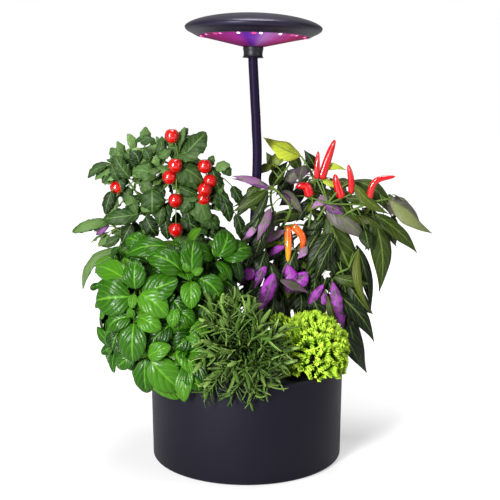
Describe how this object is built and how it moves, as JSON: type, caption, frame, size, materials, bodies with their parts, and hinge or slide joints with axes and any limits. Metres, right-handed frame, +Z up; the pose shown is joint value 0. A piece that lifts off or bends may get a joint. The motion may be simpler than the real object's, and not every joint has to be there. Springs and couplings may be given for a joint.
{
  "type": "countertop hydroponic garden",
  "caption": "Round black reservoir pot with a planting deck of herbs, tomato, chili and lettuce, and a flexible neck that holds a domed grow lamp above them.",
  "frame": {"origin": "centre of the base pad's underside, on the pot's axis", "axes": "+Z up, -Y towards the front with the rosemary, +X to the right as seen from the front"},
  "size_m": [0.3816, 0.2157, 0.456],
  "materials": {
    "pot_black": "satin",
    "deck_black": "satin",
    "trim_black": "satin",
    "pad_rubber": "matte",
    "neck_sleeve": "satin",
    "float_orange": "matte",
    "board_green": "satin",
    "board_white": "satin",
    "button_white": "satin",
    "lens_green": "polished",
    "steel": "brushed",
    "spreader_aluminium": "satin",
    "glow_cone": "satin",
    "sponge": "matte",
    "basil_green": "satin",
    "tomato_green": "matte",
    "chili_green": "satin",
    "rosemary_green": "matte",
    "lettuce_green": "matte",
    "ripe_red": "polished",
    "ripe_orange": "polished"
  },
  "bodies": {
    "pot": {"pot_shell": "pot_black", "base_pad": "pad_rubber"},
    "deck": {"planting_deck": "deck_black", "flap_pin": "steel", "control_housing": "trim_black", "control_board": "board_green", "dc_jack": "trim_black", "indicator_lens": "lens_green", "pump_body": "trim_black", "pump_cover": "trim_black", "pump_shaft": "steel", "pump_conduit": "trim_black", "neck_socket": "trim_black", "neck_nut": "trim_black", "neck_lower": "neck_sleeve"},
    "timer_button": {"timer_button": "button_white"},
    "fill_flap": {"fill_flap": "deck_black"},
    "water_float": {"water_float": "float_orange"},
    "pump_rotor": {"pump_impeller": "button_white"},
    "pod_rosemary": {"net_cup_rosemary": "trim_black", "grow_sponge_rosemary": "sponge", "cup_cap_rosemary": "deck_black", "rosemary_plant": "rosemary_green"},
    "pod_lettuce": {"net_cup_lettuce": "trim_black", "grow_sponge_lettuce": "sponge", "cup_cap_lettuce": "deck_black", "lettuce_plant": "lettuce_green"},
    "pod_chili": {"net_cup_chili": "trim_black", "grow_sponge_chili": "sponge", "cup_cap_chili": "deck_black", "chili_plant": "chili_green", "chili_fruit_red": "ripe_red", "chili_fruit_orange": "ripe_orange"},
    "pod_tomato": {"net_cup_tomato": "trim_black", "grow_sponge_tomato": "sponge", "cup_cap_tomato": "deck_black", "tomato_plant": "tomato_green", "tomato_truss_mid": "ripe_red", "tomato_truss_right": "ripe_red", "tomato_left": "ripe_red"},
    "pod_basil": {"net_cup_basil": "trim_black", "grow_sponge_basil": "sponge", "cup_cap_basil": "deck_black", "basil_plant": "basil_green"},
    "neck_1": {"neck_link_1": "neck_sleeve"},
    "neck_2": {"neck_link_2": "neck_sleeve"},
    "neck_3": {"neck_link_3": "neck_sleeve"},
    "lamp": {"neck_link_4": "neck_sleeve", "lamp_collar": "trim_black", "lamp_hub": "trim_black", "led_board": "board_white", "heat_spreader": "spreader_aluminium", "lamp_diffuser": "glow_cone", "lamp_top_cover": "pot_black"}
  },
  "joints": [
    {"name": "deck_lift", "type": "slide", "parent": "pot", "child": "deck", "axis": [0, 0, 1], "range_m": [0, 0.11]},
    {"name": "timer_press", "type": "slide", "parent": "deck", "child": "timer_button", "axis": [0, 0, -1], "range_m": [0, 0.0012], "stiffness_N_per_m": 300},
    {"name": "fill_flap_hinge", "type": "hinge", "parent": "deck", "child": "fill_flap", "pos_m": [0.086, 0.024, 0.101], "axis": [0, 1, 0], "range_deg": [0, 95]},
    {"name": "float_rise", "type": "slide", "parent": "deck", "child": "water_float", "axis": [0, 0, 1], "range_m": [0, 0.03]},
    {"name": "impeller_spin", "type": "hinge", "parent": "deck", "child": "pump_rotor", "pos_m": [0, 0, 0.019], "axis": [0, 0, 1], "continuous": true},
    {"name": "pod_lift_rosemary", "type": "slide", "parent": "deck", "child": "pod_rosemary", "axis": [0, 0, 1], "range_m": [0, 0.042]},
    {"name": "pod_lift_lettuce", "type": "slide", "parent": "deck", "child": "pod_lettuce", "axis": [0, 0, 1], "range_m": [0, 0.042]},
    {"name": "pod_lift_chili", "type": "slide", "parent": "deck", "child": "pod_chili", "axis": [0, 0, 1], "range_m": [0, 0.042]},
    {"name": "pod_lift_tomato", "type": "slide", "parent": "deck", "child": "pod_tomato", "axis": [0, 0, 1], "range_m": [0, 0.042]},
    {"name": "pod_lift_basil", "type": "slide", "parent": "deck", "child": "pod_basil", "axis": [0, 0, 1], "range_m": [0, 0.042]},
    {"name": "neck_bend_1", "type": "hinge", "parent": "deck", "child": "neck_1", "pos_m": [0.0098, 0, 0.345], "axis": [1, 0, 0], "range_deg": [-20, 20]},
    {"name": "neck_bend_2", "type": "hinge", "parent": "neck_1", "child": "neck_2", "pos_m": [0.0087, 0, 0.367], "axis": [0, 1, 0], "range_deg": [-20, 20]},
    {"name": "neck_bend_3", "type": "hinge", "parent": "neck_2", "child": "neck_3", "pos_m": [0.0076, 0, 0.389], "axis": [1, 0, 0], "range_deg": [-20, 20]},
    {"name": "neck_bend_4", "type": "hinge", "parent": "neck_3", "child": "lamp", "pos_m": [0.0065, 0, 0.411], "axis": [0, -1, 0], "range_deg": [-20, 20]}
  ]
}
